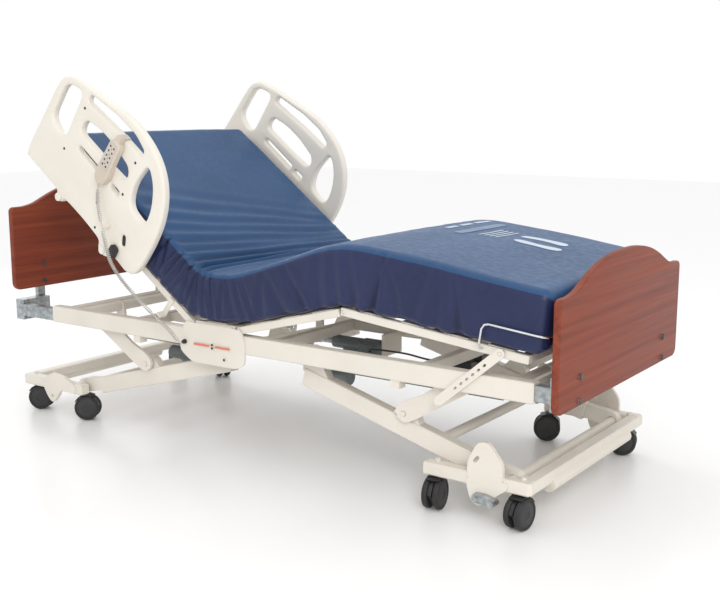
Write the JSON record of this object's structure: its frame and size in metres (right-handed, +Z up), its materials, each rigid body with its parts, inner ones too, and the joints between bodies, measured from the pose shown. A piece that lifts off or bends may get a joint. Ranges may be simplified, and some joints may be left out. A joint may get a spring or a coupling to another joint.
{
  "type": "adjustable hospital bed",
  "caption": "Electric adjustable hospital bed with folding lift legs, raised back and knee sections, foam mattress, assist rails, swivel casters and wooden end boards.",
  "frame": {"origin": "centre of the bed's footprint on the floor, without the handset's cord", "axes": "+X along the bed towards the foot end, +Y to the far side, across the bed from the side with the handset, +Z up"},
  "size_m": [2.3068, 1.0753, 1.2645],
  "materials": {
    "cream_paint": "satin powder coat",
    "cherry_board": "cherry laminate, satin",
    "zinc_steel": "zinc plated",
    "chrome_wire": "polished",
    "rail_plastic": "fine moulded grain",
    "handset_plastic": "fine moulded grain",
    "keypad_film": "matt film",
    "black_plastic": "moulded",
    "caster_tread": "matt",
    "motor_shell": "moulded",
    "mattress_cover": "coated stretch fabric",
    "coil_cord": "satin"
  },
  "bodies": {
    "frame": {"upper_frame": "cream_paint", "foot_board": "cherry_board", "head_board": "cherry_board", "foot_board_bracket_near": "zinc_steel", "foot_board_bracket_far": "zinc_steel", "head_board_bracket_near": "zinc_steel", "head_board_bracket_far": "zinc_steel", "seat_section": "cream_paint", "mattress_seat": "mattress_cover", "foot_lift_drive": "motor_shell", "head_lift_drive": "motor_shell", "back_drive": "motor_shell", "thigh_drive": "motor_shell", "control_box": "black_plastic", "drive_lead": "black_plastic"},
    "back": {"back_section": "cream_paint", "mattress_back": "mattress_cover", "handset_cord_lower": "coil_cord"},
    "thigh": {"thigh_section": "cream_paint", "mattress_thigh": "mattress_cover"},
    "calf": {"calf_section": "cream_paint", "mattress_calf": "mattress_cover", "mattress_keeper_near": "chrome_wire", "mattress_keeper_far": "chrome_wire"},
    "ladder_stay_near": {"ladder_stay_near": "cream_paint"},
    "ladder_stay_far": {"ladder_stay_far": "cream_paint"},
    "side_rail_near": {"side_rail_near": "rail_plastic", "handset_cord_upper": "coil_cord"},
    "side_rail_far": {"side_rail_far": "rail_plastic"},
    "rail_latch_near": {"rail_latch_near": "black_plastic"},
    "rail_latch_far": {"rail_latch_far": "black_plastic"},
    "handset": {"handset": "handset_plastic"},
    "handset_keys": {"handset_keys": "keypad_film"},
    "foot_lift_rod": {"foot_lift_rod": "zinc_steel"},
    "head_lift_rod": {"head_lift_rod": "zinc_steel"},
    "back_rod": {"back_rod": "zinc_steel"},
    "thigh_rod": {"thigh_rod": "zinc_steel"},
    "brake_pedal": {"brake_pedal": "zinc_steel"},
    "foot_link": {"foot_link": "cream_paint"},
    "foot_leg": {"foot_leg": "cream_paint"},
    "foot_base": {"foot_base": "cream_paint"},
    "head_link": {"head_link": "cream_paint"},
    "head_leg": {"head_leg": "cream_paint"},
    "head_base": {"head_base": "cream_paint"},
    "caster_foot_inner_near_hood": {"caster_foot_inner_near_hood": "black_plastic"},
    "caster_foot_inner_near_wheels": {"caster_foot_inner_near_wheels": "caster_tread"},
    "caster_foot_inner_far_hood": {"caster_foot_inner_far_hood": "black_plastic"},
    "caster_foot_inner_far_wheels": {"caster_foot_inner_far_wheels": "caster_tread"},
    "caster_foot_outer_near_hood": {"caster_foot_outer_near_hood": "black_plastic"},
    "caster_foot_outer_near_wheels": {"caster_foot_outer_near_wheels": "caster_tread"},
    "caster_foot_outer_far_hood": {"caster_foot_outer_far_hood": "black_plastic"},
    "caster_foot_outer_far_wheels": {"caster_foot_outer_far_wheels": "caster_tread"},
    "caster_head_inner_near_hood": {"caster_head_inner_near_hood": "black_plastic"},
    "caster_head_inner_near_wheels": {"caster_head_inner_near_wheels": "caster_tread"},
    "caster_head_inner_far_hood": {"caster_head_inner_far_hood": "black_plastic"},
    "caster_head_inner_far_wheels": {"caster_head_inner_far_wheels": "caster_tread"},
    "caster_head_outer_near_hood": {"caster_head_outer_near_hood": "black_plastic"},
    "caster_head_outer_near_wheels": {"caster_head_outer_near_wheels": "caster_tread"},
    "caster_head_outer_far_hood": {"caster_head_outer_far_hood": "black_plastic"},
    "caster_head_outer_far_wheels": {"caster_head_outer_far_wheels": "caster_tread"}
  },
  "joints": [
    {"name": "foot_lift", "type": "hinge", "parent": "frame", "child": "foot_link", "pos_m": [0.98138, 0.00875, 0.4], "axis": [0, -1, 0], "range_deg": [-8.25, 36.75]},
    {"name": "foot_leg_fold", "type": "hinge", "parent": "foot_link", "child": "foot_leg", "pos_m": [0.62138, 0.00875, 0.26], "axis": [0, -1, 0], "range_deg": [-74, 17]},
    {"name": "foot_base_pivot", "type": "hinge", "parent": "foot_leg", "child": "foot_base", "pos_m": [0.98138, 0.00875, 0.12], "axis": [0, -1, 0], "range_deg": [-8.5, 37]},
    {"name": "foot_lift_rod_slide", "type": "slide", "parent": "frame", "child": "foot_lift_rod", "axis": [1, 0, 0], "range_m": [-0.016, 0.057]},
    {"name": "head_lift", "type": "hinge", "parent": "frame", "child": "head_link", "pos_m": [-0.83362, 0.00875, 0.4], "axis": [0, 1, 0], "range_deg": [-8.25, 36.75]},
    {"name": "head_leg_fold", "type": "hinge", "parent": "head_link", "child": "head_leg", "pos_m": [-0.47362, 0.00875, 0.26], "axis": [0, 1, 0], "range_deg": [-74, 17]},
    {"name": "head_base_pivot", "type": "hinge", "parent": "head_leg", "child": "head_base", "pos_m": [-0.83362, 0.00875, 0.12], "axis": [0, 1, 0], "range_deg": [-8.5, 37]},
    {"name": "head_lift_rod_slide", "type": "slide", "parent": "frame", "child": "head_lift_rod", "axis": [-1, 0, 0], "range_m": [-0.016, 0.057]},
    {"name": "back_raise", "type": "hinge", "parent": "frame", "child": "back", "pos_m": [-0.19862, 0.00875, 0.447], "axis": [0, 1, 0], "range_deg": [-37, 23]},
    {"name": "back_rod_slide", "type": "slide", "parent": "frame", "child": "back_rod", "axis": [-1, 0, 0], "range_m": [-0.07, 0.05]},
    {"name": "knee_raise", "type": "hinge", "parent": "frame", "child": "thigh", "pos_m": [0.01638, 0.00875, 0.447], "axis": [0, -1, 0], "range_deg": [-14.5, 15.5]},
    {"name": "knee_fold", "type": "hinge", "parent": "thigh", "child": "calf", "pos_m": [0.43268, 0.00875, 0.55466], "axis": [0, -1, 0], "range_deg": [-22, 20.6]},
    {"name": "ladder_near_fold", "type": "hinge", "parent": "calf", "child": "ladder_stay_near", "pos_m": [0.96475, 0.00875, 0.49874], "axis": [0, -1, 0], "range_deg": [-28, 30]},
    {"name": "ladder_far_fold", "type": "hinge", "parent": "calf", "child": "ladder_stay_far", "pos_m": [0.96475, 0.00875, 0.49874], "axis": [0, -1, 0], "range_deg": [-28, 30]},
    {"name": "thigh_rod_slide", "type": "slide", "parent": "frame", "child": "thigh_rod", "axis": [1, 0, 0], "range_m": [-0.03, 0.03]},
    {"name": "rail_near_drop", "type": "slide", "parent": "back", "child": "side_rail_near", "axis": [0.6018, 0, 0.7986], "range_m": [-0.24, 0]},
    {"name": "latch_near_pull", "type": "slide", "parent": "side_rail_near", "child": "rail_latch_near", "axis": [0, -1, 0], "range_m": [0, 0.008], "stiffness_N_per_m": 600, "springref_m": -0.002},
    {"name": "rail_far_drop", "type": "slide", "parent": "back", "child": "side_rail_far", "axis": [0.6018, 0, 0.7986], "range_m": [-0.24, 0]},
    {"name": "latch_far_pull", "type": "slide", "parent": "side_rail_far", "child": "rail_latch_far", "axis": [0, 1, 0], "range_m": [0, 0.008], "stiffness_N_per_m": 600, "springref_m": -0.002},
    {"name": "handset_unhook", "type": "slide", "parent": "side_rail_near", "child": "handset", "axis": [0, -1, 0], "range_m": [0, 0.05]},
    {"name": "handset_key_press", "type": "slide", "parent": "handset", "child": "handset_keys", "axis": [0, 1, 0], "range_m": [0, 0.0008], "stiffness_N_per_m": 900, "springref_m": -0.0005},
    {"name": "brake_pedal_press", "type": "hinge", "parent": "foot_base", "child": "brake_pedal", "pos_m": [0.89938, -0.42125, 0.07], "axis": [0, 1, 0], "range_deg": [-12, 0]},
    {"name": "caster_foot_inner_near_swivel", "type": "hinge", "parent": "foot_base", "child": "caster_foot_inner_near_hood", "pos_m": [0.74538, -0.38325, 0.1], "axis": [0, 0, 1], "continuous": true},
    {"name": "caster_foot_inner_near_roll", "type": "hinge", "parent": "caster_foot_inner_near_hood", "child": "caster_foot_inner_near_wheels", "pos_m": [0.74816, -0.40305, 0.04642], "axis": [0.9903, 0.1392, 0], "continuous": true},
    {"name": "caster_foot_inner_far_swivel", "type": "hinge", "parent": "foot_base", "child": "caster_foot_inner_far_hood", "pos_m": [0.74538, 0.40075, 0.1], "axis": [0, 0, 1], "continuous": true},
    {"name": "caster_foot_inner_far_roll", "type": "hinge", "parent": "caster_foot_inner_far_hood", "child": "caster_foot_inner_far_wheels", "pos_m": [0.72725, 0.3923, 0.04642], "axis": [0.4226, -0.9063, 0], "continuous": true},
    {"name": "caster_foot_outer_near_swivel", "type": "hinge", "parent": "foot_base", "child": "caster_foot_outer_near_hood", "pos_m": [1.02538, -0.38325, 0.1], "axis": [0, 0, 1], "continuous": true},
    {"name": "caster_foot_outer_near_roll", "type": "hinge", "parent": "caster_foot_outer_near_hood", "child": "caster_foot_outer_near_wheels", "pos_m": [1.02294, -0.4031, 0.04642], "axis": [0.9925, -0.1219, 0], "continuous": true},
    {"name": "caster_foot_outer_far_swivel", "type": "hinge", "parent": "foot_base", "child": "caster_foot_outer_far_hood", "pos_m": [1.02538, 0.40075, 0.1], "axis": [0, 0, 1], "continuous": true},
    {"name": "caster_foot_outer_far_roll", "type": "hinge", "parent": "caster_foot_outer_far_hood", "child": "caster_foot_outer_far_wheels", "pos_m": [1.00615, 0.39524, 0.04642], "axis": [0.2756, -0.9613, 0], "continuous": true},
    {"name": "caster_head_inner_near_swivel", "type": "hinge", "parent": "head_base", "child": "caster_head_inner_near_hood", "pos_m": [-0.81762, -0.38325, 0.1], "axis": [0, 0, 1], "continuous": true},
    {"name": "caster_head_inner_near_roll", "type": "hinge", "parent": "caster_head_inner_near_hood", "child": "caster_head_inner_near_wheels", "pos_m": [-0.80085, -0.37236, 0.04642], "axis": [-0.5446, 0.8387, 0], "continuous": true},
    {"name": "caster_head_inner_far_swivel", "type": "hinge", "parent": "head_base", "child": "caster_head_inner_far_hood", "pos_m": [-0.81762, 0.40075, 0.1], "axis": [0, 0, 1], "continuous": true},
    {"name": "caster_head_inner_far_roll", "type": "hinge", "parent": "caster_head_inner_far_hood", "child": "caster_head_inner_far_wheels", "pos_m": [-0.83494, 0.41075, 0.04642], "axis": [-0.5, -0.866, 0], "continuous": true},
    {"name": "caster_head_outer_near_swivel", "type": "hinge", "parent": "head_base", "child": "caster_head_outer_near_hood", "pos_m": [-1.08362, -0.38325, 0.1], "axis": [0, 0, 1], "continuous": true},
    {"name": "caster_head_outer_near_roll", "type": "hinge", "parent": "caster_head_outer_near_hood", "child": "caster_head_outer_near_wheels", "pos_m": [-1.06596, -0.37386, 0.04642], "axis": [-0.4695, 0.8829, 0], "continuous": true},
    {"name": "caster_head_outer_far_swivel", "type": "hinge", "parent": "head_base", "child": "caster_head_outer_far_hood", "pos_m": [-1.08362, 0.40075, 0.1], "axis": [0, 0, 1], "continuous": true},
    {"name": "caster_head_outer_far_roll", "type": "hinge", "parent": "caster_head_outer_far_hood", "child": "caster_head_outer_far_wheels", "pos_m": [-1.10241, 0.40759, 0.04642], "axis": [-0.342, -0.9397, 0], "continuous": true}
  ],
  "couplings": [
    {"joint": "foot_leg_fold", "follows": "foot_lift", "ratio": -2},
    {"joint": "foot_base_pivot", "follows": "foot_lift", "ratio": 1},
    {"joint": "foot_lift_rod_slide", "follows": "foot_lift", "m_per_rad": 0.08337},
    {"joint": "head_leg_fold", "follows": "head_lift", "ratio": -2},
    {"joint": "head_base_pivot", "follows": "head_lift", "ratio": 1},
    {"joint": "head_lift_rod_slide", "follows": "head_lift", "m_per_rad": 0.08337},
    {"joint": "back_rod_slide", "follows": "back_raise", "m_per_rad": 0.09902},
    {"joint": "knee_fold", "follows": "knee_raise", "ratio": -1.4138},
    {"joint": "ladder_near_fold", "follows": "knee_raise", "ratio": 1.914},
    {"joint": "ladder_far_fold", "follows": "knee_raise", "ratio": 1.914},
    {"joint": "thigh_rod_slide", "follows": "knee_raise", "m_per_rad": 0.09362}
  ]
}
